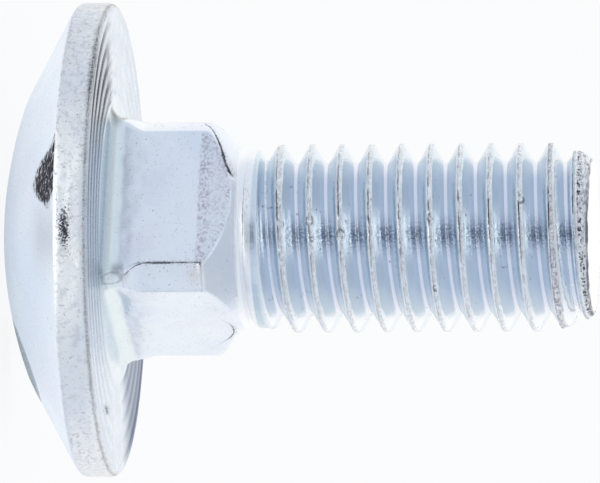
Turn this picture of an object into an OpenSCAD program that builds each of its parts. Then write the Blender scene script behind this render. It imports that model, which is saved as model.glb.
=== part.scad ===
// Carriage bolt M8 x 20, zinc plated: low domed head, square neck, rolled thread.
// One solid. The bolt stands on its head: the flat at the top of the dome is at the
// origin and the shank points up along +Z. Sizes are in millimetres.

/* [Head] */
// Diameter over the rim
head_d = 19.9; // [19.4:0.1:20.6]
// Height from the top of the dome to the bearing face
head_h = 4.6; // [4.4:0.05:4.8]
// Diameter of the small flat that the heading punch leaves at the top of the dome
crown_flat_d = 2.4; // [1.6:0.1:3.2]
// Height of the upright rim
rim_h = 1.4; // [1.2:0.05:1.5]
// Width of the straight skirt between the rounded crown and the rim
skirt_w = 3.6; // [3.2:0.1:4]
// Slope of the skirt
skirt_a = 29; // [26:1:30]
// Radius of the worn edge between skirt and rim
rim_skirt_r = 0.25; // [0.1:0.05:0.4]
// Radius of the edge between rim and bearing face
rim_face_r = 0.3; // [0.1:0.05:0.4]
// Number of rings that the heading die leaves on the bearing face
ring_count = 5; // [0:1:5]
// Distance from one ring to the next
ring_pitch = 0.8; // [0.6:0.05:0.8]
// Width of one ring's groove
ring_w = 0.3; // [0.1:0.05:0.4]
// Depth of one ring's groove
ring_depth = 0.06; // [0.02:0.01:0.1]

/* [Neck] */
// Width across the flats of the square
neck_w = 7.9; // [7.8:0.1:8.5]
// Width across the worn corners of the square
neck_corner_d = 10.0; // [9.9:0.1:10.2]
// Length of the full square, from the bearing face
neck_l = 4.2; // [3.2:0.1:5.2]
// Length of the shoulder that runs from the square down to the collar
shoulder_l = 1.25; // [1:0.05:1.8]
// Diameter of the collar between the shoulder and the thread
collar_d = 7.4; // [7.3:0.02:7.6]
// Radius of the hollow where the neck leaves the head
neck_root_r = 0.6; // [0.3:0.05:0.65]

/* [Thread] */
// Length of the bolt from the bearing face to the end of the thread
bolt_l = 20; // [16:1:50]
// Diameter over the thread's crests
thread_d = 7.86; // [7.76:0.01:7.97]
// Diameter at the thread's root
root_d = 6.32; // [6.2:0.01:6.45]
// Pitch of the thread, right handed
pitch = 1.25; // [1.25:0.05:1.5]
// Width of the flat at the thread's root
root_w = 0.16; // [0.1:0.01:0.2]
// Length over which the thread runs out towards the collar
runout_l = 2.0; // [1.5:0.1:2.5]
// Diameter over the crests at the end, where the blank was pointed
point_d = 6.7; // [6.6:0.05:7.2]
// Length of the pointed stretch
point_l = 1.55; // [0.8:0.05:2]
// Bevel on the edge of the end face
end_bevel = 0.12; // [0.05:0.01:0.2]
// Turn angle of the thread's start about the axis
thread_turn = 170; // [0:5:360]

/* [Hidden] */
steel = [0.80, 0.84, 0.90];
$fn = 96;
// How far one form reaches into the next where they join
join = 0.5;

// Crown of the dome: a slice of a ball, from the small flat to where the skirt starts
rim_r = head_d / 2;
dome_h = head_h - rim_h;
crown_w = rim_r - skirt_w;
crown_h = dome_h - skirt_w * tan(skirt_a);
crown_flat_r = crown_flat_d / 2;
crown_z = (crown_w * crown_w + crown_h * crown_h - crown_flat_r * crown_flat_r) / (2 * crown_h);
crown_r = norm([crown_flat_r, crown_z]);

// Radius of the outermost ring on the bearing face
ring_r = rim_r - rim_face_r - ring_w;

// Heights along the axis
face_z = head_h;
shoulder_z = face_z + neck_l;
collar_z = shoulder_z + shoulder_l;
end_z = face_z + bolt_l;
point_z = end_z - point_l;

// The run-out starts this far inside the shoulder
runout_lead = 0.45;
runout_z = collar_z - runout_lead;
full_z = runout_z + runout_l;
// How far the first crests stand above the collar and the first roots lie below it
first_crest = 0.04;
first_root = 0.02;
// Share of the run-out over which the crests keep to the collar
first_share = 0.7;

// Thread form: 60 degree flanks, with the root's middle a little lower than its edges
flank_a = 30;
root_dip = 0.03;
collar_r = collar_d / 2;
crest_r = thread_d / 2;
root_r = root_d / 2;
point_r = point_d / 2;

// The helix starts inside the shoulder and ends past the end face
turn_facets = 36;
helix_z = runout_z - pitch;
turns = ceil((end_z - helix_z) / pitch) + 1;
columns = turns * turn_facets;

// Share of the way from a to b that x has gone, kept between 0 and 1
function share(x, a, b) = min(1, max(0, (x - a) / (b - a)));
function mix(a, b, t) = a + (b - a) * t;

// Crest radius at height z: it leaves the collar, runs full and drops at the point
function crest_at(z) =
    let (rise = share(z, mix(runout_z, full_z, first_share), full_z))
    mix(mix(collar_r + first_crest, crest_r, rise), point_r, share(z, point_z, end_z));

// Root radius at height z: the groove grows from nothing at the collar
function root_at(z) = mix(collar_r - first_root, root_r, share(z, runout_z, full_z));

// Width of a flank between the root at height z_root and the crest at height z_crest
function flank_at(z_root, z_crest) = (crest_at(z_crest) - root_at(z_root)) * tan(flank_a);

// One pitch of the thread form, from a root at height z to the crest above it:
// each point is [height, radius]
function form_at(z) =
    let (
        crest_z = z + pitch / 2,
        crest_low = z + root_w / 2 + flank_at(z, crest_z),
        crest_high = z + pitch - root_w / 2 - flank_at(z + pitch, crest_z)
    )
    [
        [z - root_w / 2, root_at(z)],
        [z, root_at(z) - root_dip],
        [z + root_w / 2, root_at(z)],
        [crest_low, crest_at(crest_low)],
        [crest_high, crest_at(crest_high)]
    ];
steps = len(form_at(helix_z));

// The form's points at one column of the helix, turned to their place
function column_points(c) =
    let (a = thread_turn + 360 * c / turn_facets)
    [for (p = form_at(helix_z + pitch * c / turn_facets)) [p[1] * cos(a), p[1] * sin(a), p[0]]];

// The threaded core: one strip that winds up the shank, closed at both ends
// by fans that the neck and the end face hide
module thread_core() {
    strip = [for (c = [0:columns]) each column_points(c)];
    first = len(strip);
    last = first + 1;
    hubs = [[0, 0, helix_z - join], [0, 0, helix_z + pitch * (turns + 1) + join]];
    // Columns that still have a turn above them, and the form's last point
    inner = columns - turn_facets;
    top = steps - 1;
    // The strip's faces within a turn, and those that join it to the next turn
    within = [
        for (c = [0:columns - 1]) for (s = [0:top - 1])
            let (i = c * steps + s, j = i + steps)
            each [[i, i + 1, j + 1], [i, j + 1, j]]
    ];
    between = [
        for (c = [0:inner - 1])
            let (i = c * steps + top, j = i + steps, k = (c + turn_facets) * steps, l = k + steps)
            each [[i, k, l], [i, l, j]]
    ];
    // The lower end: the first turn's lower edge and the form at column 0
    start_edge = [for (c = [0:turn_facets - 1]) [c * steps, (c + 1) * steps, first]];
    start_form = [for (s = [0:top - 1]) [s + 1, s, first]];
    start_step = [[turn_facets * steps, top, first]];
    // The upper end: the last turn's upper edge and the form at the last column
    end_edge = [for (c = [inner:columns - 1]) [(c + 1) * steps + top, c * steps + top, last]];
    end_form = [for (s = [0:top - 1]) [columns * steps + s, columns * steps + s + 1, last]];
    end_step = [[inner * steps + top, columns * steps, last]];
    polyhedron(
        points = concat(strip, hubs),
        faces = concat(within, between, start_edge, start_form, start_step, end_edge, end_form, end_step),
        convexity = 10
    );
}

// The space that the finished shank may fill, bevelled at the end face
module shank_limit() {
    face_r = point_r - end_bevel;
    outer_r = crest_r + join;
    rotate_extrude()
        polygon([
            [0, face_z + join],
            [outer_r, face_z + join],
            [outer_r, end_z - (outer_r - face_r)],
            [face_r, end_z],
            [0, end_z]
        ]);
}

module shank() {
    intersection() {
        thread_core();
        shank_limit();
    }
}

// Half section of the head: crown, skirt, rim, and the face with the die's rings
module head_section() {
    difference() {
        intersection() {
            translate([0, crown_z]) circle(r = crown_r, $fn = 180);
            polygon([
                [0, 0],
                [crown_w - crown_h / tan(skirt_a), 0],
                [rim_r, dome_h],
                [rim_r, face_z],
                [0, face_z]
            ]);
        }
        rim_skirt_cut();
        rim_face_cut();
        for (k = [0:1:ring_count - 1])
            translate([ring_r - k * ring_pitch, face_z]) ring_cut();
    }
}

// What the rounded edge takes off the sharp corner between skirt and rim
module rim_skirt_cut() {
    centre = [rim_r - rim_skirt_r, dome_h + rim_skirt_r * (1 / cos(skirt_a) - tan(skirt_a))];
    difference() {
        polygon([
            centre + rim_skirt_r * [sin(skirt_a), -cos(skirt_a)],
            [rim_r, dome_h],
            [rim_r, centre[1]]
        ]);
        translate(centre) circle(r = rim_skirt_r);
    }
}

// What the rounded edge takes off the sharp corner between rim and bearing face
module rim_face_cut() {
    difference() {
        translate([rim_r - rim_face_r, face_z - rim_face_r]) square(rim_face_r + join);
        translate([rim_r - rim_face_r, face_z - rim_face_r]) circle(r = rim_face_r);
    }
}

// Section of one ring's groove
module ring_cut() {
    polygon([[-ring_w / 2, join], [-ring_w / 2, 0], [0, -ring_depth], [ring_w / 2, 0], [ring_w / 2, join]]);
}

module head() {
    rotate_extrude() head_section();
}

// Half section of the neck's turned envelope: hollow root, worn corners, shoulder, collar
module neck_section() {
    corner_r = neck_corner_d / 2;
    root_edge = corner_r + neck_root_r;
    difference() {
        polygon([
            [0, face_z - join],
            [root_edge, face_z - join],
            [root_edge, face_z + neck_root_r],
            [corner_r, face_z + neck_root_r],
            [corner_r, shoulder_z],
            [collar_r, collar_z],
            [0, collar_z]
        ]);
        translate([root_edge, face_z + neck_root_r]) circle(r = neck_root_r);
    }
}

// The square bar of the neck, with a hollow along each side where it meets the head
module neck_square() {
    translate([-neck_w / 2, -neck_w / 2, face_z - join])
        cube([neck_w, neck_w, join + neck_l + shoulder_l + join]);
    for (side = [0:3])
        rotate([0, 0, 90 * side]) neck_side_root();
}

module neck_side_root() {
    difference() {
        translate([neck_w / 2 - join, -neck_w, face_z - join])
            cube([neck_root_r + join, 2 * neck_w, neck_root_r + join]);
        translate([neck_w / 2 + neck_root_r, 0, face_z + neck_root_r])
            rotate([90, 0, 0]) cylinder(r = neck_root_r, h = 4 * neck_w, center = true);
    }
}

module neck() {
    intersection() {
        rotate_extrude() neck_section();
        neck_square();
    }
}

module bolt() {
    color(steel) {
        head();
        neck();
        shank();
    }
}

bolt();
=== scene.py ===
import math
from functools import reduce
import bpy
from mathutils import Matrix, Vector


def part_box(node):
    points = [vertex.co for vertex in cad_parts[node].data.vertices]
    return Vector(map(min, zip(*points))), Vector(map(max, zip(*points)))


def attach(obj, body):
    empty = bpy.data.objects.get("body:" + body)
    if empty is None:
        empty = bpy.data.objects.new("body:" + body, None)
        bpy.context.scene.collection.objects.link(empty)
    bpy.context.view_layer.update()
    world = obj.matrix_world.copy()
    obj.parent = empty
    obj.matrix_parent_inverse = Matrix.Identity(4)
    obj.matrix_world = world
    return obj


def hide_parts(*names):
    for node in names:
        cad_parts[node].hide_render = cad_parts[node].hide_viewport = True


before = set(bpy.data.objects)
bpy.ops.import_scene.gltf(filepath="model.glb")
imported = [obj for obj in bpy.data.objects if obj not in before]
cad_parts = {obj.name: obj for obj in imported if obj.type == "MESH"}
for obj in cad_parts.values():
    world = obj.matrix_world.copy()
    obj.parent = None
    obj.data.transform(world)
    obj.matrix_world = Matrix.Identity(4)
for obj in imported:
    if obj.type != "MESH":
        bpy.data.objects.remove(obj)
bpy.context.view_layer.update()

from types import SimpleNamespace

import bmesh
import bpy
import numpy as np
from bpy.props import FloatProperty, FloatVectorProperty, IntProperty, PointerProperty
from mathutils import Matrix, Vector

bl_info = {
    "name": "Carriage bolt looks",
    "version": (1, 0, 0),
    "blender": (4, 5, 0),
    "location": "3D View > Sidebar > Carriage Bolt",
    "description": "Zinc plated carriage bolt: its plated surface, finishes and studio",
    "category": "Object",
}

MM = 0.001
BOLT_LOW, BOLT_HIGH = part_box("bolt")
IMAGE_WIDTH = 600
SENSOR_WIDTH = 36.0

# The side of the bolt that faces the camera, as an angle about the axis
NEAR_SIDE = math.radians(-63.4)
# Places about the axis, in degrees
UPPER_FACE = -90.0
LOWER_FACE = 0.0
NEAR_CORNER = -45.0
NEAR_CORNER_EDGE = -52.2
FAR_CORNER = -135.0
FOLD_MIDDLE = -122.0
# Vertices closer than this are one vertex, and shorter edges are taken out
MERGE_DISTANCE = 0.0005 * MM
SHORTEST_EDGE = 0.0002 * MM
# Numbers of the materials on the bolt; the plating of head and neck is number 0
RIM_SLOT = 1
THREAD_SLOT = 2


# Small functions on arrays

def share(x, a, b):
    """Share of the way from a to b that x has gone, kept between 0 and 1."""
    return np.clip((x - a) / (b - a), 0.0, 1.0)


def ease(t):
    """The share t with a soft start and a soft end."""
    return t * t * (3.0 - 2.0 * t)


def step(x, a, b):
    """A soft step: 0 up to a and 1 from b on."""
    return ease(share(x, a, b))


def mix(a, b, t):
    return a + (b - a) * t


def smooth_min(a, b, k):
    """The smaller of a and b, rounded over a width of k."""
    h = np.clip(0.5 + 0.5 * (b - a) / k, 0.0, 1.0)
    return b * (1.0 - h) + a * h - k * h * (1.0 - h)


def smooth_max(a, b, k):
    return -smooth_min(-a, -b, k)


def turned(angle, centre):
    """How far an angle lies from a centre, from minus half a turn to half a turn."""
    return (angle - centre + math.pi) % (2.0 * math.pi) - math.pi


def past(angle, degrees):
    """How far an angle lies past a place that is given in degrees."""
    return turned(angle, math.radians(degrees))


def from_corner(angle):
    """How far an angle lies from the middle of the nearest corner of the square."""
    return np.abs(turned(angle * 4, math.pi)) / 4


def bump(x, centre, width):
    """A round hump of height 1 about a centre."""
    return np.exp(-((x - centre) / width) ** 2)


def lattice_noise(u, v, cells_u, cells_v, seed, wrap=True):
    """Smooth random values from -1 to 1 over u and v, each from 0 to 1. With wrap, u closes."""
    rng = np.random.default_rng(seed)
    knots = rng.uniform(-1.0, 1.0, (cells_u + 1, cells_v + 2))
    if wrap:
        knots[cells_u] = knots[0]
    x = np.clip(u, 0.0, 1.0) * cells_u
    y = np.clip(v, 0.0, 1.0) * cells_v
    i = np.minimum(x.astype(int), cells_u - 1)
    j = np.minimum(y.astype(int), cells_v)
    s = ease(x - i)
    low = mix(knots[i, j], knots[i + 1, j], s)
    high = mix(knots[i, j + 1], knots[i + 1, j + 1], s)
    return mix(low, high, ease(y - j))


def share_of_turn(angle):
    """The angle as a share of a whole turn, from 0 to 1."""
    return (angle / (2 * math.pi)) % 1.0


class BoltForm:
    """The bolt's form in metres, worked out from its sizes, with its edges rounded."""

    flank = math.tan(math.radians(30))
    runout_lead = 0.45 * MM
    first_crest = 0.04 * MM
    first_root = 0.02 * MM
    first_share = 0.7
    root_dip = 0.03 * MM
    crest_round = 0.03 * MM
    edge_round = 0.05 * MM
    shoulder_round = 0.16 * MM
    collar_round = 0.08 * MM
    corner_flare = 0.3 * MM
    # Points across a ring's groove, as shares of its half width and its depth
    ring_section = ((1.0, 0.0), (0.55, 0.55), (0.0, 1.0), (-0.55, 0.55), (-1.0, 0.0))
    crown_rows = 16
    skirt_rows = 12
    rim_rows = 8

    def __init__(self, sizes):
        self.sizes = sizes
        self.rim_r = sizes.head_d / 2
        self.dome_h = sizes.head_h - sizes.rim_h
        self.crown_w = self.rim_r - sizes.skirt_w
        self.crown_h = self.dome_h - sizes.skirt_w * math.tan(sizes.skirt_a)
        self.flat_r = sizes.crown_flat_d / 2
        square = self.crown_w ** 2 + self.crown_h ** 2 - self.flat_r ** 2
        self.crown_z = square / (2 * self.crown_h)
        self.crown_r = math.hypot(self.flat_r, self.crown_z)
        self.face_z = sizes.head_h
        self.shoulder_z = self.face_z + sizes.neck_l
        self.collar_z = self.shoulder_z + sizes.shoulder_l
        self.thread_start = self.collar_z - 0.35 * MM
        self.end_z = sizes.total_h
        self.point_z = self.end_z - sizes.point_l
        self.collar_r = sizes.collar_d / 2
        self.crest_r = sizes.thread_d / 2
        self.root_r = sizes.root_d / 2
        self.point_r = sizes.point_d / 2
        self.runout_z = self.collar_z - self.runout_lead
        self.full_z = self.runout_z + sizes.runout_l
        self.helix_z = self.runout_z - sizes.pitch
        self.half_w = sizes.neck_w / 2
        self.corner_r = sizes.neck_corner_d / 2

    # Thread

    def crest_at(self, z):
        start = mix(self.runout_z, self.full_z, self.first_share)
        rise = share(z, start, self.full_z)
        body = mix(self.collar_r + self.first_crest, self.crest_r, rise)
        return mix(body, self.point_r, share(z, self.point_z, self.end_z))

    def root_at(self, z):
        first = self.collar_r - self.first_root
        return mix(first, self.root_r, share(z, self.runout_z, self.full_z))

    def edges_at(self, root_z):
        """Where the crest above the root at root_z starts and ends, as heights above that root."""
        pitch = self.sizes.pitch
        top = self.crest_at(root_z + pitch / 2)
        half_root = self.sizes.root_w / 2
        low = half_root + (top - self.root_at(root_z)) * self.flank
        high = pitch - half_root - (top - self.root_at(root_z + pitch)) * self.flank
        return low, high

    def turn_share(self, angle):
        """Share of a turn from the thread's start to an angle."""
        return ((angle - self.sizes.thread_turn) % (2 * math.pi)) / (2 * math.pi)

    def thread_radius(self, angle, z):
        """The thread's radius, how far a point lies onto the crest and from the root, and turns."""
        pitch = self.sizes.pitch
        turn = self.turn_share(angle)
        along = np.floor((z - self.helix_z) / pitch - turn) + turn
        root_z = self.helix_z + pitch * along
        up = z - root_z
        low, high = self.edges_at(root_z)
        half_root = self.sizes.root_w / 2
        rising = self.root_at(root_z) + (up - half_root) / self.flank
        falling = self.root_at(root_z + pitch) + (pitch - half_root - up) / self.flank
        floor = np.where(up < pitch / 2, self.root_at(root_z), self.root_at(root_z + pitch))
        from_root = np.minimum(up, pitch - up)
        dip = self.root_dip * step(from_root, half_root, 0.0)
        grooved = np.maximum(np.minimum(rising, falling), floor) - dip
        radius = smooth_min(grooved, self.crest_at(z), self.crest_round)
        return radius, np.minimum(up - low, high - up), from_root, along

    # Neck

    def neck_offset(self, rise):
        """How far the hollow at the neck's foot stands out at a height above the face."""
        r = self.sizes.neck_root_r
        depth = np.clip(r - rise, 0.0, r)
        return r - np.sqrt(np.maximum(r * r - depth * depth, 0.0))

    def envelope_at(self, z):
        """Radius of the turned body that limits the square: corners, shoulder, collar."""
        foot = self.corner_flare * step(z - self.face_z, 1.5 * MM, 0.5 * MM)
        slope = (self.corner_r - self.collar_r) / self.sizes.shoulder_l
        cone = self.corner_r - slope * (z - self.shoulder_z)
        body = smooth_min(self.corner_r + foot, cone, self.shoulder_round)
        body = smooth_max(body, self.collar_r, self.collar_round)
        drop = step(z, self.collar_z + 0.05 * MM, self.collar_z + 0.55 * MM)
        return body - (self.collar_r - self.root_r) * drop

    def square_at(self, angle):
        """Distance from the axis to the sides of the plain square."""
        return self.half_w / np.maximum(np.abs(np.cos(angle)), np.abs(np.sin(angle)))

    def neck_radius(self, angle, z):
        out = self.neck_offset(z - self.face_z)
        square = self.square_at(angle) * (1.0 + out / self.half_w)
        return smooth_min(square, self.envelope_at(z) + out, self.edge_round)

    def shank_radius(self, angle, z):
        """Neck and thread together, bevelled at the end face."""
        thread, onto_crest, _, along = self.thread_radius(angle, z)
        radius = smooth_max(self.neck_radius(angle, z), thread, self.edge_round)
        bevel = self.point_r - self.sizes.end_bevel + (self.end_z - z)
        return smooth_min(radius, bevel, self.edge_round), onto_crest, along

    # Head

    def head_profile(self):
        """Radius and height of each row of the head, from the crown to the innermost ring."""
        sizes = self.sizes
        rows = [(self.flat_r * t, 0.0) for t in (0.3, 0.6, 0.9)]
        start = math.asin(self.flat_r / self.crown_r)
        stop = math.asin(self.crown_w / self.crown_r)
        for k in range(self.crown_rows):
            a = mix(start, stop, (k + 0.3) / self.crown_rows)
            rows.append((self.crown_r * math.sin(a), self.crown_z - self.crown_r * math.cos(a)))
        slope = math.tan(sizes.skirt_a)
        edge = sizes.rim_skirt_r
        edge_z = self.dome_h + edge * (1 / math.cos(sizes.skirt_a) - slope)
        edge_r = self.rim_r - edge
        skirt_end = edge_r + edge * math.sin(sizes.skirt_a)
        for k in range(1, self.skirt_rows):
            r = mix(self.crown_w, skirt_end, k / self.skirt_rows)
            rows.append((r, self.dome_h - (self.rim_r - r) * slope))
        edge_steps = [k / 5 for k in range(6)]
        for t in edge_steps:
            a = mix(sizes.skirt_a, math.pi / 2, t)
            rows.append((edge_r + edge * math.sin(a), edge_z - edge * math.cos(a)))
        edge = sizes.rim_face_r
        top = self.face_z - edge
        rows += [(self.rim_r, mix(edge_z, top, k / self.rim_rows)) for k in range(1, self.rim_rows)]
        for t in edge_steps:
            a = math.pi / 2 * t
            rows.append((self.rim_r - edge * (1 - math.cos(a)), top + edge * math.sin(a)))
        return np.array(rows + self.ring_rows())

    def ring_rows(self):
        """Rows of the face with the grooves that the heading die leaves, from the rim inwards."""
        sizes = self.sizes
        half = sizes.ring_w / 2
        outer = self.rim_r - sizes.rim_face_r - sizes.ring_w
        rows = []
        for k in range(sizes.ring_count):
            centre = outer - k * sizes.ring_pitch
            for side, depth in self.ring_section:
                rows.append((centre + side * half, self.face_z - depth * sizes.ring_depth))
            rows.append((centre - sizes.ring_pitch / 2, self.face_z))
        return rows[:-1]


def column_angles(form, count):
    """Angles of the mesh's columns: even ones, and ones that gather at the corners' edges."""
    start = form.sizes.thread_turn
    even = start + 2 * math.pi * np.arange(count) / count
    edge = math.acos(form.half_w / form.corner_r)
    edges = [math.pi / 2 * q + e for q in range(4) for e in (edge, math.pi / 2 - edge)]
    fine = np.linspace(0, 2 * math.pi, 3600)
    gather, gather_width = 1.8, math.radians(2.5)
    density = 1 + gather * sum(bump(turned(fine + start, e), 0, gather_width) for e in edges)
    total = np.concatenate([[0], np.cumsum((density[1:] + density[:-1]) / 2)])
    total *= 2 * math.pi / total[-1]
    return even, start + np.interp(even - start, total, fine)


# Wear. Heights and widths that are given as plain numbers are in millimetres.

# Dents on the crests: angle in degrees, height above the bearing face, half width and depth.
# The last four are on the side that the photo doesn't show, and are made up.
CREST_NICKS = (
    (-74.6, 8.50, 0.20, 0.14),
    (-63.0, 8.62, 0.10, 0.04),
    (-66.0, 9.80, 0.19, 0.16),
    (-75.8, 13.53, 0.17, 0.10),
    (-84.0, 7.20, 0.09, 0.05),
    (-87.4, 17.25, 0.20, 0.07),
    (-40.0, 9.95, 0.12, 0.05),
    (-31.0, 13.70, 0.14, 0.06),
    (110.0, 11.60, 0.18, 0.08),
    (60.0, 15.30, 0.16, 0.07),
    (195.0, 9.20, 0.17, 0.08),
    (150.0, 18.10, 0.20, 0.08),
)


def wear_shank(form, angle, z, radius, onto_crest, along):
    """Takes the tumbled wear off the crests, and puts the nicks on them."""
    turns = (form.end_z - form.helix_z) / form.sizes.pitch + 1
    u = along / turns
    crest = step(onto_crest, -0.06 * MM, 0.03 * MM)
    threaded = step(z, form.collar_z, form.collar_z + 0.8 * MM)
    pointed = step(z, form.point_z, form.end_z)
    across = share(onto_crest, -0.1 * MM, 0.5 * MM)
    fine = lattice_noise(u, across, int(turns * 150), 4, 11, wrap=False)
    coarse = lattice_noise(u, across, int(turns * 34), 2, 12, wrap=False)
    rough = mix(0.016, 0.045, pointed) * fine + mix(0.014, 0.03, pointed) * coarse
    radius = radius + crest * threaded * rough * MM
    nick_floor = form.root_r + 0.2 * MM
    for turn_to, rise, width, depth in CREST_NICKS:
        off = past(angle, turn_to) * form.crest_r
        far = np.hypot(off, z - form.face_z - rise * MM) / (width * MM)
        radius = radius - depth * MM * np.exp(-far ** 2 * 1.6) * (radius > nick_floor)
        radius = radius + 0.1 * depth * MM * bump(far, 1.5, 0.4) * crest
    return radius


def wear_neck(form, angle, z, radius):
    """The neck's raw corners, the burr at its foot and the folds at its shoulder."""
    rise = (z - form.face_z) / MM
    on_neck = step(rise, 0.0, 0.4) * step(rise, 5.6, 5.2)
    u = share_of_turn(angle)
    swell = lattice_noise(u, rise / 6.0, 28, 7, 21)
    grain = lattice_noise(u, rise / 6.0, 120, 26, 22)
    corner = bump(from_corner(angle), 0.0, math.radians(9))
    radius = radius + on_neck * (0.012 * swell + 0.006 * grain) * MM
    radius = radius - on_neck * corner * (0.5 + 0.5 * grain) * 0.02 * MM
    # Burr where the near corner meets the head
    near_corner = past(angle, NEAR_CORNER) * form.corner_r / MM
    radius = radius + 0.2 * MM * bump(near_corner, -0.1, 0.17) * bump(rise, 0.43, 0.36)
    # A step along the upper edge of the near corner
    edge = past(angle, NEAR_CORNER_EDGE) * form.corner_r / MM - seam_bow(rise)
    ledge = share(edge, -0.05, 0.05) * (1.0 - share(edge, 0.25, 1.1))
    radius = radius - 0.035 * MM * ledge * step(rise, 0.8, 1.0) * step(rise, 4.1, 3.9)
    # The fold at the shoulder's upper side
    fold, off = fold_side(angle, rise)
    far = np.hypot(fold, np.maximum(np.abs(off) - 1.3, 0.0))
    return radius - 0.05 * MM * bump(far, 0.0, 0.09) * on_neck


def seam_bow(rise):
    """How far the seam along the near corner bends inwards towards its foot."""
    return 0.445 * share(1.8 - rise, 0.0, 0.85) ** 2


def fold_side(angle, rise):
    """Signed distance from the fold on the shoulder's upper side, and the place along it."""
    off = past(angle, FOLD_MIDDLE) * 4.4
    t = share(off, -1.27, 1.31)
    line = mix(3.9, 5.3, t) + 0.12 * np.sin(t * 5.0)
    return (rise - line) * 0.82, off


def neck_lines(angle, rise):
    """Thin dark lines on the neck: signed distance from the nearest one, and its strength."""
    fold, off = fold_side(angle, rise)
    line = fold / (1.0 + 1.2 * share(off, 0.2, 1.2))
    strength = step(np.abs(off), 1.4, 1.2)
    # The outline of the near corner's worn band: upper edge, lower edge and right end
    along = past(angle, NEAR_CORNER) * 5.0
    half_band = 0.63
    top = along + half_band - seam_bow(rise)
    band = np.maximum(np.maximum(-top, along - half_band), rise - 4.1)
    lower = bump(along, half_band, 0.25) * step(rise, 1.2, 1.8)
    drawn = (0.85 * bump(top, 0.0, 0.25) + 0.15 * lower) * step(rise, 4.15, 4.05)
    drawn = drawn + 0.22 * bump(rise, 4.1, 0.1) * step(along, -0.6, -0.4)
    drawn = drawn * step(rise, 0.88, 0.98) * (np.abs(along) < 1.2)
    # The outline of the burr at its foot
    burr = 0.2 * (np.hypot((along + 0.1) / 0.22, (rise - 0.4) / 0.42) - 1.0)
    on_burr = (rise < 0.9) * (np.abs(along) < 1.0) * (rise > 0.02)
    corner = np.abs(along) < 1.6
    line = np.where(corner, np.where(rise < 0.9, burr, band), line)
    strength = np.where(corner, np.where(rise < 0.9, 0.3 * on_burr, drawn), strength)
    # The arc where the lower face meets the shoulder
    lower = past(angle, LOWER_FACE) * 4.0
    arc = rise - 5.03 + 0.45 * (lower - 0.54) ** 2
    face = np.abs(lower - 0.6) < 1.6
    line = np.where(face, arc, line)
    strength = np.where(face, bump(lower, 0.75, 0.75) * bump(arc, 0.0, 0.3), strength)
    return np.clip(line, -2.0, 2.0), strength * (rise > 0.02) * (rise < 5.5)


def wear_head(form, angle, radius, z):
    """Unevenness of the dome, the worn edges of the rim and the rings' uneven depth."""
    u = share_of_turn(angle)
    across = radius / form.rim_r
    soft = lattice_noise(u, across, 9, 5, 31) * share(radius, 1.5 * MM, 4 * MM)
    at_edge = bump(radius, form.rim_r, 0.35 * MM)
    nibble = lattice_noise(u, z / form.face_z, 170, 26, 32)
    broad = lattice_noise(u, z / form.face_z, 44, 8, 33)
    z = z + 0.012 * MM * soft * (z < form.dome_h)
    radius = radius + at_edge * (0.012 * nibble + 0.012 * broad - 0.02) * MM
    face = (z > form.face_z - 0.1 * MM) & (radius < form.rim_r - 0.4 * MM)
    z = z + face * lattice_noise(u, across, 40, 16, 34) * 0.006 * MM
    # The rings are cut deeper on the upper part of the camera's side, and the far side is worn
    sunk = form.face_z - z
    lateral = -turned(angle, NEAR_SIDE)
    upper = bump(radius * np.sin(lateral) / MM, 6.0, 2.4) * (np.cos(lateral) > 0.0)
    deeper = 0.75 * upper - 0.5 * step(-np.cos(lateral), -0.1, 0.4)
    return radius, z - face * (sunk > 0.02 * MM) * sunk * deeper


# Mesh

# Radii of the end face's rows, as shares of its whole radius
END_SHARES = (1.0, 0.985, 0.965, 0.94, 0.9, 0.84, 0.76, 0.66, 0.55, 0.43, 0.3, 0.16)


def worn_shank(form, angle, z):
    """Radius of the neck and the thread with all their wear."""
    radius, onto_crest, along = form.shank_radius(angle, z)
    radius = wear_neck(form, angle, z, radius)
    return wear_shank(form, angle, z, radius, onto_crest, along)


def head_and_neck_rows(form, even, gathered):
    """Every row of the bolt below the thread: angles, radii and heights, an array of each."""
    rows = []
    profile = form.head_profile()
    for r, z in profile:
        rows.append((even, *wear_head(form, even, r + 0 * even, z + 0 * even)))
    # From the innermost ring to the foot of the hollow, circle turns into square
    face = form.face_z + 0 * even
    for t in (0.25, 0.5, 0.75, 0.9):
        angle = mix(even, gathered, ease(t))
        rows.append((angle, mix(profile[-1][0], form.neck_radius(angle, face), t), face))
    # The hollow, then the square, then the shoulder
    hollow = form.sizes.neck_root_r
    square_end = 3.4 * MM
    join = form.thread_start - form.face_z
    rises = np.concatenate([
        hollow * (1 - np.cos(np.linspace(0, math.pi / 2, 9))),
        np.linspace(hollow, square_end, 26)[1:],
        np.linspace(square_end, join, 24)[1:],
    ])
    for rise in rises:
        angle = mix(gathered, even, step(rise, 4.6 * MM, join))
        z = form.face_z + rise + 0 * angle
        rows.append((angle, worn_shank(form, angle, z), z))
    return rows


def thread_heights(form, angle, turn_index):
    """Heights of one turn's rows at each column: root, rising flank, crest, falling flank."""
    pitch = form.sizes.pitch
    root_z = form.helix_z + pitch * (turn_index + form.turn_share(angle))
    low, high = form.edges_at(root_z)
    half = form.sizes.root_w / 2
    lip = 0.025 * MM
    rows = [0.0 * low, half * 0.55 + 0 * low, half + 0 * low]
    rows += [mix(half, low - lip, t) for t in (0.22, 0.5, 0.78, 1.0)]
    rows += [mix(low, high, t) for t in (0.08, 0.36, 0.64, 0.92)]
    rows += [mix(high + lip, pitch - half, t) for t in (0.0, 0.22, 0.5, 0.78)]
    rows += [pitch - half + 0 * low, pitch - half * 0.55 + 0 * low]
    return [root_z + r for r in rows]


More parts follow.
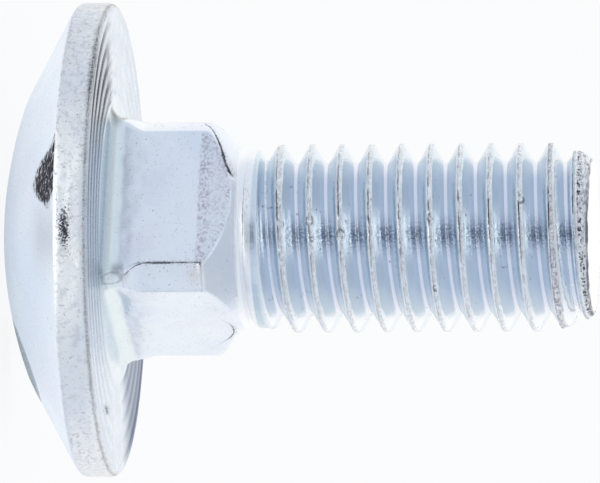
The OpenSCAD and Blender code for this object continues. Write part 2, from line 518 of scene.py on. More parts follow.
def end_rows(form, angle):
    """Radii and heights of the end face: a shallow dish inside a low ragged lip."""
    z = form.end_z + 0 * angle
    radius = worn_shank(form, angle, z)
    u = share_of_turn(angle)
    lip = 0.5 + 0.5 * lattice_noise(u, 0.5 + 0 * u, 60, 2, 42)
    rows = []
    for s in END_SHARES:
        inwards = 1.0 - s
        dish = 0.03 * MM * step(inwards, 0.03, 0.5)
        dish = dish - 0.05 * MM * lip * step(inwards, 0.0, 0.02) * step(inwards, 0.07, 0.03)
        rough = 0.003 * MM * lattice_noise(u, s + 0 * u, 48, 9, 41) * (s < 1.0)
        rows.append((radius * s, z - dish + rough))
    return rows


def bolt_mesh(form, columns):
    """Vertices and faces of the whole bolt. The thread's rows climb with the helix."""
    even, gathered = column_angles(form, columns)
    rows = head_and_neck_rows(form, even, gathered)
    turns = int(math.ceil((form.end_z - form.helix_z) / form.sizes.pitch)) + 1
    heights = [z for k in range(turns) for z in thread_heights(form, even, k)]
    base = 1 + len(rows) * columns
    end = base + len(heights) * columns

    def row_faces(first, count, in_row=columns):
        """Faces between a count of rows, of which the lowest starts at a vertex."""
        for a in range(first, first + (count - 1) * columns, columns):
            for c in range(in_row):
                d = (c + 1) % columns
                faces.append((a + c, a + d, a + columns + d, a + columns + c))

    faces = [(0, 1 + (c + 1) % columns, 1 + c) for c in range(columns)]
    row_faces(1, len(rows))
    for z in heights:
        z = np.clip(z, form.thread_start, form.end_z)
        rows.append((even, worn_shank(form, even, z), z))
    row_faces(base, len(heights), columns - 1)
    # The last column joins the first one a turn higher up
    per_turn = len(heights) // turns
    for j in range(len(heights) - 1 - per_turn):
        a = base + j * columns + columns - 1
        b = base + (j + per_turn) * columns
        faces.append((a, b, b + columns, a + columns))
    face_rows = end_rows(form, even)
    rows += [(even, radius, z) for radius, z in face_rows]
    row_faces(end, len(face_rows))
    centre = 1 + len(rows) * columns
    a = centre - columns
    faces += [(a + c, a + (c + 1) % columns, centre) for c in range(columns)]
    points = [np.stack([r * np.cos(angle), r * np.sin(angle), z], 1) for angle, r, z in rows]
    crown, middle = [[0.0, 0.0, 0.0]], [[0.0, 0.0, form.end_z - 0.03 * MM]]
    return np.concatenate([crown, *points, middle]), faces


# Marks: one value for each vertex and each kind of mark. Lengths are in millimetres.

# How far a point sinks in the picture for each millimetre that it comes nearer to the camera
NEAR_SINK = 0.1117
# Height above the bearing face from which the last crest is drawn on its own
LAST_CREST = 18.9
# The scorched wedge's left and right borders: heights in the picture, and the places there
WEDGE_LEFT = (
    (1.4, 1.63, 2.13, 2.67, 3.3, 3.7, 4.35),
    (-2.73, -3.05, -3.30, -3.21, -2.92, -2.63, -2.29),
)
WEDGE_RIGHT = ((1.4, 2.0, 2.5), (-2.75, -2.55, -2.2))


def places(form, points):
    """Where the vertices lie, about the bolt and as the camera sees them."""
    x, y, z = points.T
    at = SimpleNamespace(z=z, angle=np.arctan2(y, x), radius=np.hypot(x, y))
    at.r_mm = at.radius / MM
    at.rise = (z - form.face_z) / MM
    # Across the axis in the picture, towards the camera, and whether the side is seen
    lateral = -turned(at.angle, NEAR_SIDE)
    at.side = at.r_mm * np.sin(lateral)
    at.facing = np.cos(lateral)
    at.near = step(at.facing, 0.0, 0.25)
    # Along the axis in the picture
    at.seen = at.rise - NEAR_SINK * at.r_mm * at.facing
    return at


def thread_marks(form, at):
    """Crests, roots, flanks, nicks, the last crest and the end face, with masks for painted
    highlights and shade.
    """
    rise, side, near = at.rise, at.side, at.near
    _, onto_crest, from_root, along = form.thread_radius(at.angle, at.z)
    root_z = form.helix_z + form.sizes.pitch * along
    rising = (at.z - root_z) < form.sizes.pitch / 2
    root = step(from_root, 0.08 * MM, 0.04 * MM) * step(rise, 6.6, 7.0)
    threaded = step(rise, 6.5, 6.9)
    from_edge = (at.z - root_z - form.edges_at(root_z)[0]) / MM
    last = np.where((rise > LAST_CREST) & rising | (rise > 19.3), from_edge - 0.17, -0.5)
    kept = np.where(rise > LAST_CREST, step(last, -0.02, 0.02), 1.0)
    nick = 0
    for turn_to, height, width, _ in CREST_NICKS:
        off = past(at.angle, turn_to) * form.crest_r / MM
        nick = nick + bump(np.hypot(off * 0.8, rise - height), 0.0, width * 0.8) * threaded
    end_face = at.z > form.end_z - 0.04 * MM
    return dict(
        crest=step(onto_crest, 0.0, 0.035 * MM) * step(rise, 6.3, 6.8) * kept,
        worn=step(rise, 17.6, 18.2) * share(onto_crest, -0.01 * MM, 0.02 * MM) * kept,
        root=root,
        # Painted shade towards the thread's roots
        deep=step(from_root, 0.4 * MM, 0.08 * MM) * step(rise, 6.2, 6.8),
        # Camera's side weights for the painted shade line and the painted highlight line along the
        # crest
        land=(0.15 + 0.75 * bump(side, 1.2, 2.0)) * near * threaded,
        pale=(0.3 + 0.7 * bump(side, 0.0, 3.2) * near) * threaded,
        # Painted grains of shade and glint about the root, on the camera's side
        root_glint_and_shade=bump(side, 0.1, 0.5) * near * threaded * step(from_root, 0.5 * MM, 0.15 * MM),
        # A camera's side weight for the collar's painted highlight and shade streaks
        gleam=bump(side, 0.8, 1.5) * near,
        across=np.clip(from_edge, -0.6, 0.6),
        last=np.clip(last, -0.5, 0.5),
        # Painted highlight on the flanks that face the end, and painted shade on those that face
        # the head, on the camera's side
        light=(1.0 - rising) * step(side, 3.5, 2.4) * near * (1.0 - root) * step(rise, 6.2, 6.6),
        painted_dim=rising * (0.55 + 0.45 * bump(side, 2.6, 1.2)) * near * (1.0 - root),
        nick=np.clip(nick, 0.0, 1.0),
        # The end face, painted white: a painted highlight
        end=end_face * step(at.radius, form.point_r - 0.14 * MM, form.point_r - 0.2 * MM),
    )


def neck_marks(form, at):
    """Rubbed shoulder, raw corners, folds, painted shade at the neck's foot and in a cool patch,
    and the tone of the hollow.
    """
    angle, rise, side, near, seen = at.angle, at.rise, at.side, at.near, at.seen
    on_neck = (rise > 0.0) * (rise < 5.3)
    to_cone = (form.envelope_at(at.z) - form.square_at(angle)) / MM
    scuff = step(rise, 3.7, 3.95) * step(to_cone, -0.02, 0.06) * (rise < 5.4)
    scuff = scuff * (1.0 - 0.75 * step(np.abs(past(angle, UPPER_FACE)), 0.6, 1.1))
    line, fold = neck_lines(angle, rise)
    far_corner = past(angle, FAR_CORNER) * 5.2
    # Painted shade at the neck's foot: at the far corner, a streak beside it, and beside the seam
    # on the camera's side
    neck_foot_shade = 0.9 * bump(far_corner, 0.1, 0.32) * bump(rise, 0.12, 0.22)
    streak = bump(rise - 0.45 + 0.4 * far_corner, 0.0, 0.1) * bump(far_corner, -0.35, 0.5)
    seam = bump(side, -1.2, 0.2) * step(rise, 0.3, 0.45) * step(rise, 0.95, 0.8) * near
    # Painted shade: a cool three-sided patch where the lower face of the neck leaves the head
    patch = np.minimum.reduce([
        -1.97 - 0.67 * seen - side,
        side + 3.29 - 2.85 * (seen - 0.413),
        side + 1.97 + 3.16 * seen,
    ])
    return dict(
        scuff=scuff,
        rub=scuff * (0.4 + 0.6 * np.maximum(bump(rise, 3.98, 0.3), bump(to_cone, 0.1, 0.12))),
        band=step(from_corner(angle), 0.14, 0.1) * step(rise, 0.7, 1.2) * step(rise, 4.3, 4.0),
        line=line,
        fold=np.clip(fold, 0.0, 1.0),
        neck_foot_shade=(neck_foot_shade + 0.8 * streak + 0.45 * seam) * on_neck,
        ochre=bump(rise, 3.85, 0.3) * bump(past(angle, NEAR_CORNER - 2.0) * 5.0, 0.0, 0.5),
        # Painted shade: a darker ring on the face about the neck's foot
        foot=step(at.r_mm, 7.6, 6.4) * (np.abs(rise) < 0.05),
        cove=step(rise, 0.02, 0.08) * step(rise, 0.62, 0.5) * (at.r_mm < 6.6),
        # Painted shade in the cool patch
        patch=step(patch, 0.0, 0.16) * (np.abs(past(angle, LOWER_FACE)) < 0.78) * on_neck,
    )


def dome_marks(form, at):
    """A dark scorched wedge, a soft grey patch below it and a dull leaf near the crown, which is a
    painted dark reflection.
    """
    side, seen = at.side, at.seen
    below = (at.z < form.dome_h + 0.05 * MM) * at.near
    left, right = np.interp(side, *WEDGE_LEFT), np.interp(side, *WEDGE_RIGHT)
    wedge = np.minimum.reduce([seen - left, right - seen, side - 1.35, 4.5 - side])
    along = share(-side, 3.2, 6.9)
    swell = np.sin(math.pi * along)
    # The leaf, a painted dark reflection near the crown
    leaf = -4.42 + 1.25 * along - 0.05 * swell + 0.21 * swell ** 0.7 - seen
    on_leaf = (below > 0.0) & (side < -3.1) & (side > -7.0)
    return dict(
        wedge=np.clip(np.where(below > 0.0, wedge, -0.5), -0.5, 0.5),
        leaf=np.clip(np.where(on_leaf, leaf, -0.5), -0.5, 0.5),
        haze=bump(side, 0.1, 1.25) * share(at.r_mm, 7.6, 8.7) * below,
    )


def rim_and_face_marks(form, at):
    """Blotch, burnished edge with a painted highlight, and dirt on the rim; the face's tone,
    painted shade in its rings and a painted dark reflection on its far part.
    """
    sizes = form.sizes
    rise, side, near, r_mm = at.rise, at.side, at.near, at.r_mm
    on_rim = (at.radius > form.rim_r - 0.45 * MM) * (rise < 0.02) * (rise > -1.5)
    blotch = bump(side, 0.5, 0.95) * bump(rise, -0.93, 0.24) * on_rim * near
    # The burnished edge between skirt and rim, partly a painted highlight that is strongest on the
    # camera's side; the rim is also painted lighter towards its upper and lower ends in the picture
    polish_and_highlight = bump(rise, -1.28, 0.13) * np.maximum(bump(side, 1.6, 2.4), 0.25)
    ends = 0.6 * bump(side, -7.8, 1.8) + 0.45 * bump(side, 7.6, 1.2)
    # Dirt along the rim's edge at the face, darker on the camera's upper side
    grime_and_shade = 0.8 * bump(rise, -0.12, 0.11) * bump(side, 7.2, 1.3) * near
    grime_and_shade = bump(rise, -0.12, 0.06) * 0.6 + grime_and_shade
    dent = bump(np.hypot((side + 7.05) / 0.3, (r_mm - 8.05) / 0.5), 0.3, 0.6)
    dent = dent * (np.abs(rise) < 0.2) * near
    # Painted shade on the walls of the die's rings that face the camera, darkest in the upper half
    on_rings = (np.abs(rise) < 0.14) * (r_mm > 6.0) * (r_mm < 9.75)
    outer = form.rim_r - sizes.rim_face_r - sizes.ring_w - sizes.ring_w / 4
    k = np.round((outer - at.radius) / sizes.ring_pitch)
    width = mix(sizes.ring_w / 3.0, sizes.ring_w * 1.05, bump(side, 6.0, 2.6))
    ring = bump(outer - k * sizes.ring_pitch - at.radius, 0.0, width) * on_rings
    ring = ring * (share(side, -5.5, 0.0) * 0.55 + 0.45 * bump(side, 6.4, 2.6))
    # Painted dark reflection: the far part of the face is a dull blue in the lower half, striped by
    # the rings
    shade = step(side, -3.8, -5.2) * (0.7 + 0.3 * step(r_mm, 8.4, 9.1))
    shade = shade * (rise > -0.4) * (r_mm > 6.0)
    stripes = 0.75 + 0.25 * np.cos(2.0 * math.pi * (outer - at.radius) / sizes.ring_pitch)
    edges = bump(rise, -1.3, 0.2) + bump(rise, -0.15, 0.25)
    wear = (0.3 * edges + 0.15 * bump(rise, -0.7, 0.5)) * mix(0.2, 1.0, share(side, -1.0, 2.5))
    wear = wear + 0.6 * np.maximum(share(side, 3.0, 7.0), 0.8 * share(-side, 6.8, 8.2))
    return dict(
        dark=np.clip(blotch + 0.75 * dent, 0.0, 1.0),
        polish_and_highlight=np.maximum(polish_and_highlight, ends) * on_rim,
        # Dirt along the rim's edge, and painted shade in the rings
        grime_and_shade=grime_and_shade * on_rim + ring * step(at.facing, 0.1, 0.45),
        face=on_rings * 1.0,
        shade=shade * step(-at.facing, 0.1, 0.5) * stripes,
        wear=np.clip(wear, 0.0, 1.0),
    )


def surface_marks(form, points):
    """Every mark on the bolt, by its name."""
    at = places(form, points)
    marks = {}
    for find in (thread_marks, neck_marks, dome_marks, rim_and_face_marks):
        marks.update(find(form, at))
    # Painted shade at the neck's foot joins the rim's dirt and the rings' painted shade
    marks["grime_and_shade"] = np.clip(marks["grime_and_shade"] + marks.pop("neck_foot_shade"), 0.0, 1.0)
    return marks


# Shader nodes

class Nodes:
    """Places nodes in a tree and joins their sockets."""

    def __init__(self, tree):
        self.tree = tree

    def add(self, kind, **settings):
        node = self.tree.nodes.new(kind)
        for key, value in settings.items():
            setattr(node, key, value)
        node.location = (200 * (len(self.tree.nodes) % 8), -220 * (len(self.tree.nodes) // 8))
        return node

    def put(self, socket, value):
        if isinstance(value, bpy.types.NodeSocket):
            self.tree.links.new(value, socket)
        else:
            socket.default_value = value

    def fed(self, kind, inputs, **settings):
        """Outputs of a new node whose inputs, by name or number, have the given values."""
        node = self.add(kind, **settings)
        for key, value in inputs.items():
            self.put(node.inputs[key], value)
        return node.outputs

    def math(self, operation, a, b=0.0):
        return self.fed("ShaderNodeMath", {0: a, 1: b}, operation=operation)[0]

    def plus(self, a, b):
        return self.math("ADD", a, b)

    def minus(self, a, b):
        return self.math("SUBTRACT", a, b)

    def times(self, a, b):
        return self.math("MULTIPLY", a, b)

    def larger(self, a, b):
        return self.math("MAXIMUM", a, b)

    def size(self, a):
        return self.math("ABSOLUTE", a)

    def vector(self, operation, a, b=(0.0, 0.0, 0.0)):
        inputs = {0: a, "Scale" if operation == "SCALE" else 1: b}
        outputs = self.fed("ShaderNodeVectorMath", inputs, operation=operation)
        return outputs["Value" if operation in ("DOT_PRODUCT", "LENGTH") else "Vector"]

    def span(self, value, low, high, to_low=0.0, to_high=1.0, kind="SMOOTHSTEP"):
        """The value's share of the way from low to high, as a value from to_low to to_high."""
        inputs = dict(zip(
            ("Value", "From Min", "From Max", "To Min", "To Max"),
            (value, low, high, to_low, to_high),
        ))
        return self.fed("ShaderNodeMapRange", inputs, interpolation_type=kind)["Result"]

    def colour(self, factor, a, b):
        return self.fed("ShaderNodeMix", {0: factor, 6: a, 7: b}, data_type="RGBA")[2]

    def number(self, factor, a, b):
        return self.fed("ShaderNodeMix", {0: factor, 2: a, 3: b}, data_type="FLOAT")[0]

    def noise(self, place, scale, detail=3.0, roughness=0.5, distortion=0.0):
        return self.fed("ShaderNodeTexNoise", {
            "Vector": place, "Scale": scale, "Detail": detail, "Roughness": roughness,
            "Distortion": distortion,
        })[0]

    def group(self, tree, **values):
        """Places a group and sets its inputs by name, with spaces written as underscores."""
        inputs = {key.replace("_", " "): value for key, value in values.items()}
        return self.fed("ShaderNodeGroup", inputs, node_tree=tree)[0]


def cleared_nodes(owner):
    """Helper for the emptied node tree of a material or a world."""
    owner.use_nodes = True
    owner.node_tree.nodes.clear()
    return Nodes(owner.node_tree)


def new_group(name, output, output_kind, vector=True, **inputs):
    """An empty node group with one output. Each input is a value, or None for a colour."""
    tree = bpy.data.node_groups.new(name, "ShaderNodeTree")

    def socket(label, side, kind):
        label = label.replace("_", " ")
        return tree.interface.new_socket(label, in_out=side, socket_type="NodeSocket" + kind)

    if vector:
        socket("Vector", "INPUT", "Vector")
    for label, value in inputs.items():
        if value is None:
            socket(label, "INPUT", "Color")
        else:
            socket(label, "INPUT", "Float").default_value = value
    socket(output, "OUTPUT", output_kind)
    nodes = Nodes(tree)
    return nodes, nodes.add("NodeGroupInput").outputs, nodes.add("NodeGroupOutput").inputs


def specks_group():
    """Small ragged specks and pits in clusters. Amount is the share of cells that hold one."""
    nodes, given, out = new_group("Specks", "Mask", "Float",
                                  Size=0.0001, Amount=0.3, Clustering=0.5)
    plus, times, place = nodes.plus, nodes.times, given["Vector"]
    per_metre = nodes.math("DIVIDE", 1.0, given["Size"])
    cells = nodes.fed("ShaderNodeTexVoronoi", {"Vector": place, "Scale": per_metre})
    chance = nodes.fed("ShaderNodeSeparateColor", {0: cells["Color"]})
    ragged = nodes.noise(place, times(per_metre, 2.0), 2.0, 0.7)
    far = plus(cells["Distance"], times(nodes.minus(ragged, 0.5), 0.6))
    wide = nodes.noise(place, times(per_metre, 0.13), 2.0, 0.6)
    lift = times(times(nodes.minus(wide, 0.5), 6.0), given["Clustering"])
    held = nodes.math("LESS_THAN", chance[0], times(given["Amount"], plus(1.0, lift)))
    reach = nodes.span(chance[1], 0.0, 1.0, 0.2, 0.5, kind="LINEAR")
    nodes.put(out["Mask"], times(held, nodes.span(far, reach, times(reach, 0.5))))
    return nodes.tree


def plating_group():
    """The slow change of hue over bright zinc plating."""
    nodes, given, out = new_group("Plating Hue", "Color", "Color",
                                  Size=0.004, Main=None, Cool=None, Warm=None, Strength=0.5)
    per_metre = nodes.math("DIVIDE", 1.0, given["Size"])
    place, hue = given["Vector"], given["Main"]
    for cast, low, high in (("Cool", 0.42, 0.66), ("Warm", 0.45, 0.68)):
        amount = nodes.span(nodes.noise(place, per_metre, 2.0, 0.5, 0.4), low, high)
        hue = nodes.colour(nodes.times(amount, given["Strength"]), hue, given[cast])
        place = nodes.vector("ADD", place, (0.013, 0.027, 0.041))
    nodes.put(out["Color"], hue)
    return nodes.tree


def grain_group():
    """Height of the fine orange peel in the plating."""
    nodes, given, out = new_group("Plating Grain", "Height", "Float",
                                  Size=0.0003, Detail=2.0, Peel=1.0)
    per_metre = nodes.math("DIVIDE", 1.0, given["Size"])
    peel = nodes.noise(given["Vector"], per_metre, given["Detail"], 0.55)
    nodes.put(out["Height"], nodes.times(peel, given["Peel"]))
    return nodes.tree


def panel_group():
    """A soft-edged panel of the light tent, by turn and elevation: 1 inside, 0 outside."""
    nodes, given, out = new_group(
        "Tent Panel", "Mask", "Float", vector=False, Turn=0.0, Elevation=0.0, Middle_Turn=0.0,
        Middle_Elevation=0.0, Half_Width=0.2, Half_Height=0.4, Edge=0.1)
    off = nodes.minus(given["Turn"], given["Middle Turn"])
    off = nodes.fed("ShaderNodeMath", {0: off, 1: math.pi, 2: -math.pi}, operation="WRAP")[0]
    rise = nodes.minus(given["Elevation"], given["Middle Elevation"])
    masks = []
    for far, half in ((off, given["Half Width"]), (rise, given["Half Height"])):
        inner, outer = nodes.minus(half, given["Edge"]), nodes.plus(half, given["Edge"])
        masks.append(nodes.minus(1.0, nodes.span(nodes.size(far), inner, outer)))
    nodes.put(out["Mask"], nodes.times(*masks))
    return nodes.tree


# Finishes. Sizes and depths are in metres, and the scales of the grains in cells per metre.

FINE_GRAIN = 13000.0
MOTTLE_GRAIN = 9000.0
STREAK_GRAIN = 11000.0


class Plating(Nodes):
    """Nodes of one plated material, with the colour that its coats have reached."""

    def __init__(self, name, finish, groups, main, warm, hue_size, hue_strength):
        self.material = bpy.data.materials.new(name)
        super().__init__(cleared_nodes(self.material).tree)
        self.finish, self.groups, self.marks = finish, groups, {}
        self.shader = self.add("ShaderNodeBsdfPrincipled")
        self.fed("ShaderNodeOutputMaterial", {"Surface": self.shader.outputs["BSDF"]})
        self.place = self.add("ShaderNodeTexCoord").outputs["Object"]
        self.base = self.shared("plating", Size=hue_size, Main=self.tint(main),
                                Cool=self.tint("cool"), Warm=self.tint(warm), Strength=hue_strength)

    def tint(self, name):
        return (*getattr(self.finish, name), 1.0)

    def shared(self, name, **values):
        return self.group(self.groups[name], Vector=self.place, **values)

    def mark(self, name):
        if name not in self.marks:
            self.marks[name] = self.add("ShaderNodeAttribute", attribute_name=name).outputs["Fac"]
        return self.marks[name]

    def grains(self, scale, detail, roughness, place=None):
        return self.noise(self.place if place is None else place, scale, detail, roughness)

    def coat(self, tint, *shares):
        """Lays a colour over the others, as strongly as the product of the shares."""
        self.base = self.colour(reduce(self.times, shares), self.base, self.tint(tint))

    def finished(self, roughness, metallic, height, depth):
        """Joins coats, gloss and relief to the shader, and gives back the material."""
        relief = {"Strength": 1.0, "Distance": depth, "Height": height}
        normal = self.fed("ShaderNodeBump", relief)["Normal"]
        for name, value in (("Base Color", self.base), ("Roughness", roughness),
                            ("Metallic", metallic), ("Normal", normal)):
            self.put(self.shader.inputs[name], value)
        return self.material


def plating_material(finish, groups):
    """Bright plating on the dome, the bearing face and the neck, with its stains and scuffs, and
    painted shade and dark reflections on the face, the neck and the dome.
    """
    made = Plating("zinc_plating", finish, groups, "plating", "warm",
                   hue_size=0.0045, hue_strength=0.5)
    mark, coat, span, grains = made.mark, made.coat, made.span, made.grains
    plus, minus, times, larger = made.plus, made.minus, made.times, made.larger
    specks = made.shared("specks", Size=0.00016, Amount=0.003, Clustering=0.5)
    amount = larger(times(mark("rub"), 0.5), times(mark("band"), 0.12))
    dense = made.shared("specks", Size=0.00011, Amount=amount, Clustering=0.3)
    fine = grains(FINE_GRAIN, 3.0, 0.7)
    broad = grains(1900.0, 3.0, 0.6)
    ragged = minus(broad, 0.5)
    coat("face", mark("face"), 0.9)
    # Painted shade on the face about the neck's foot
    coat("rolled", mark("foot"), 0.75)
    coat("cove", mark("cove"), 0.75)
    # Painted shade in the cool patch on the neck's lower face
    coat("painted_dim", mark("patch"), 0.6)
    # Painted dark reflection on the far part of the face, made dull
    coat("shade", mark("shade"), 0.9)
    # The leaf on the dome: a painted dark reflection, made dull
    leaf = span(plus(mark("leaf"), times(ragged, 0.06)), 0.0, 0.03)
    coat("dull", leaf, span(mark("leaf"), 0.0, 0.14, 0.35, 0.7))
    coat("bright", mark("band"), 0.2)
    coat("ochre", mark("ochre"), span(fine, 0.35, 0.6, 0.0, 0.6))
    coat("speck", specks, 0.3)
    # The rubbed band has ragged borders and mauve specks
    scuff = span(plus(mark("scuff"), times(ragged, 1.6)), 0.25, 0.8)
    scuff = times(scuff, span(mark("scuff"), 0.02, 0.25))
    coat("scuffed", scuff, 0.12)
    scuffed = times(dense, larger(scuff, mark("band")))
    coat("mauve", scuffed, 0.5)
    coat("mauve", span(grains(MOTTLE_GRAIN, 4.0, 0.75), 0.49, 0.58), mark("rub"), scuff, 0.62)
    coat("haze", mark("haze"), 0.6)
    # The scorched wedge: black streaks across the camera's view, with light specks between
    wedge = mark("wedge")
    across = (math.sin(NEAR_SIDE), -math.cos(NEAR_SIDE), 0.0)
    run = made.vector("SCALE", across, times(made.vector("DOT_PRODUCT", made.place, across), 0.7))
    streaks = grains(STREAK_GRAIN, 3.0, 0.75, made.vector("SUBTRACT", made.place, run))
    scorched = span(plus(streaks, times(span(wedge, -0.14, 0.14), 0.17)), 0.54, 0.62)
    scorched = times(scorched, span(wedge, -0.16, -0.02))
    burnt = larger(scorched, span(plus(fine, times(mark("dark"), 0.3)), 0.62, 0.78))
    coat("scuffed", span(wedge, -0.15, 0.1), 0.7)
    coat("burnt", burnt, 0.98)
    # Dirt along the rim's edge, and painted shade in the rings and at the neck's foot
    coat("soot_and_shade", mark("grime_and_shade"), span(fine, 0.3, 0.5, 0.7, 1.0))
    # Thin lines: seams, the fold and the burr's outline
    beside = made.size(mark("line"))
    jitter = plus(times(minus(fine, 0.5), 0.16), times(broad, -0.14))
    crack = times(mark("fold"), span(plus(beside, jitter), -0.022, -0.055))
    coat("burnt", crack, 0.97)
    coat("mauve", mark("fold"), span(beside, 0.26, 0.06), span(fine, 0.52, 0.6), 0.6)
    gloss = finish.roughness
    rough = span(grains(900.0, 3.0, 0.6), 0.3, 0.7, gloss - 0.05, gloss + 0.06)
    dull = larger(mark("shade"), leaf)
    rough = made.number(dull, made.number(scuff, rough, 0.42), 0.7)
    grain = made.shared("grain", Size=0.0006, Detail=0.5, Peel=0.4)
    relief = minus(grain, plus(times(scuffed, 0.6), crack))
    rough, metal = made.number(burnt, rough, 0.6), made.number(dull, 1.0, 0.15)
    return made.finished(rough, metal, relief, depth=0.00001)


def rim_material(finish, groups):
    """The rim, speckled and pitted by the tumbling barrel, with a burnished edge that is partly a
    painted highlight.
    """
    made = Plating("zinc_plating_rim", finish, groups, "rim", "warm",
                   hue_size=0.0022, hue_strength=0.3)
    mark, coat, span, grains = made.mark, made.coat, made.span, made.grains
    plus, times = made.plus, made.times
    amount = times(made.number(mark("wear"), 0.08, 0.5), 0.35)
    specks = made.shared("specks", Size=0.00013, Amount=amount, Clustering=0.9)
    edge = made.number(mark("wear"), 0.55, 0.49)
    pitted = span(grains(6500.0, 5.0, 0.78), edge, plus(edge, 0.14))
    fine = grains(FINE_GRAIN, 3.0, 0.7)
    coat("haze", span(grains(2600.0, 3.0, 0.6), 0.52, 0.68, 0.0, 0.4))
    # Burnished edge, partly a painted highlight, and painted lighter ends
    coat("bright", mark("polish_and_highlight"))
    coat("mauve", specks, 0.12)
    coat("mauve", pitted, 0.42)
    # Dirt and painted shade along the rim's edge
    coat("soot_and_shade", mark("grime_and_shade"), span(fine, 0.36, 0.55, 0.3, 1.0), 0.9)
    coat("burnt", span(plus(fine, times(mark("dark"), 0.34)), 0.62, 0.8), 0.96)
    rough = span(grains(1500.0, 3.0, 0.6), 0.3, 0.7, 0.34, 0.46)
    rough = made.number(mark("polish_and_highlight"), rough, 0.22)
    grain = made.shared("grain", Size=0.00028, Detail=2.0, Peel=0.8)
    relief = made.minus(grain, plus(times(specks, 0.4), times(pitted, 0.5)))
    return made.finished(rough, 1.0, relief, depth=0.00002)


def thread_material(finish, groups, form):
    """Rolled flanks, burnished roots and battered crests, with painted highlights and shade on the
    flanks, crests, roots, collar and end face.
    """
    made = Plating("zinc_plating_thread", finish, groups, "rolled", "rolled_cyan",
                   hue_size=0.0035, hue_strength=0.3)
    mark, coat, span, grains = made.mark, made.coat, made.span, made.grains
    plus, minus, times = made.plus, made.minus, made.times
    crest, worn, gleam = mark("crest"), mark("worn"), mark("gleam")
    specks = made.shared("specks", Size=0.00015, Amount=0.015, Clustering=0.7)
    mottle = span(grains(MOTTLE_GRAIN, 4.0, 0.75), 0.5, 0.6)
    # Marks that the rolling die drew out along the thread
    drawn = made.vector("MULTIPLY", made.place, (0.2, 0.2, 1.0))
    lines = grains(19000.0, 3.0, 0.65, drawn)
    long = grains(6000.0, 3.0, 0.65, drawn)
    # Painted highlight on the flanks that face the end, and painted shade on those that face the
    # head
    coat("bright", mark("light"), 0.9)
    coat("painted_dim", mark("painted_dim"), 0.85)
    # Painted shade deeper in the grooves
    coat("deep", mark("deep"), 0.5)
    coat("speck", specks, 0.5)
    coat("crest", crest)
    coat("bright", crest, span(lines, 0.5, 0.62, 0.0, 0.5))
    coat("worn", worn, 0.7)
    coat("bright", worn, span(lines, 0.5, 0.58))
    battered = times(mottle, made.larger(crest, worn))
    coat("mauve", battered, made.number(worn, 0.12, 0.6))
    # A painted highlight line and a painted shade line along the crest's lower edge, broken up,
    # strongest on the camera's side
    over = plus(mark("across"), times(minus(lines, 0.5), 0.06))
    coat("gleam", span(over, -0.05, -0.03), span(over, 0.035, 0.02), mark("pale"),
         span(long, 0.36, 0.5, 0.3, 1.0))
    coat("soot_and_shade", span(over, 0.02, 0.035), span(over, 0.095, 0.07), mark("land"),
         span(long, 0.56, 0.46))
    # The collar: a plain light band, then a thin painted dark line on the camera's side, and
    # painted highlight and shade streaks, mostly on the camera's side
    height = made.fed("ShaderNodeSeparateXYZ", {0: made.place})["Z"]
    rise = minus(height, form.face_z)
    collar = span(rise, 6.05 * MM, 5.98 * MM)
    streaky = times(collar, span(rise, 5.69 * MM, 5.74 * MM))
    coat("bright", collar)
    coat("bright", streaky, gleam, span(lines, 0.42, 0.54))
    coat("haze", streaky, span(lines, 0.46, 0.38), span(gleam, 0.1, 0.6, 0.15, 0.6))
    beside = made.size(minus(rise, 5.70 * MM))
    coat("speck", span(beside, 0.03 * MM, 0.01 * MM), gleam, span(lines, 0.4, 0.55, 0.2, 0.85))
    coat("root", mark("root"), 0.85)
    # Painted dark grains of shade and bright grains of glint about the root on the camera's side
    root_glint_and_shade = grains(FINE_GRAIN, 2.0, 0.7)
    coat("root_glint_and_shade", mark("root_glint_and_shade"), span(root_glint_and_shade, 0.5, 0.56), 0.75)
    coat("gleam", mark("root_glint_and_shade"), span(root_glint_and_shade, 0.4, 0.36))
    # Nicks: a bright middle and dark grains about it
    nick = mark("nick")
    coat("bright", span(nick, 0.55, 0.9, 0.0, 0.9))
    coat("speck", span(nick, 0.15, 0.35), span(nick, 0.75, 0.5), span(long, 0.52, 0.46, 0.0, 0.8))
    # The last crest: a bright edge, black dots beside it, pale patches and a dark end line
    last = mark("last")
    on_last = span(last, -0.02, 0.02)
    coat("gleam", on_last, span(grains(5000.0, 4.0, 0.7, drawn), 0.49, 0.55))
    row = span(made.size(minus(last, 0.13)), 0.14, 0.04, 0.0, 0.1)
    coat("soot_and_shade", on_last, span(plus(grains(7000.0, 4.0, 0.75), row), 0.6, 0.65), 0.92)
    coat("gleam", span(last, -0.03, 0.0), span(last, 0.055, 0.035))
    to_end = minus(form.end_z - form.face_z, rise)
    coat("speck", span(to_end, 0.09 * MM, 0.05 * MM), span(long, 0.42, 0.52, 0.25, 0.9))
    # The end face painted white: a painted highlight
    coat("gleam", mark("end"))
    rough = made.number(crest, span(grains(1300.0, 3.0, 0.6), 0.3, 0.7, 0.12, 0.2), 0.3)
    rough = made.number(worn, made.number(collar, rough, 0.34), 0.5)
    grain = made.shared("grain", Size=0.0002, Detail=2.0, Peel=0.35)
    groove = times(times(lines, crest), 0.4)
    relief = minus(plus(grain, groove), plus(battered, specks))
    relief = times(relief, minus(1.0, mark("end")))
    return made.finished(made.number(mark("end"), rough, 0.12), 1.0, relief, depth=0.00003)


# Pieces and stage

def add_object(name, data):
    """A new object in the scene that shows the data."""
    thing = bpy.data.objects.new(name, data)
    bpy.context.scene.collection.objects.link(thing)
    return thing


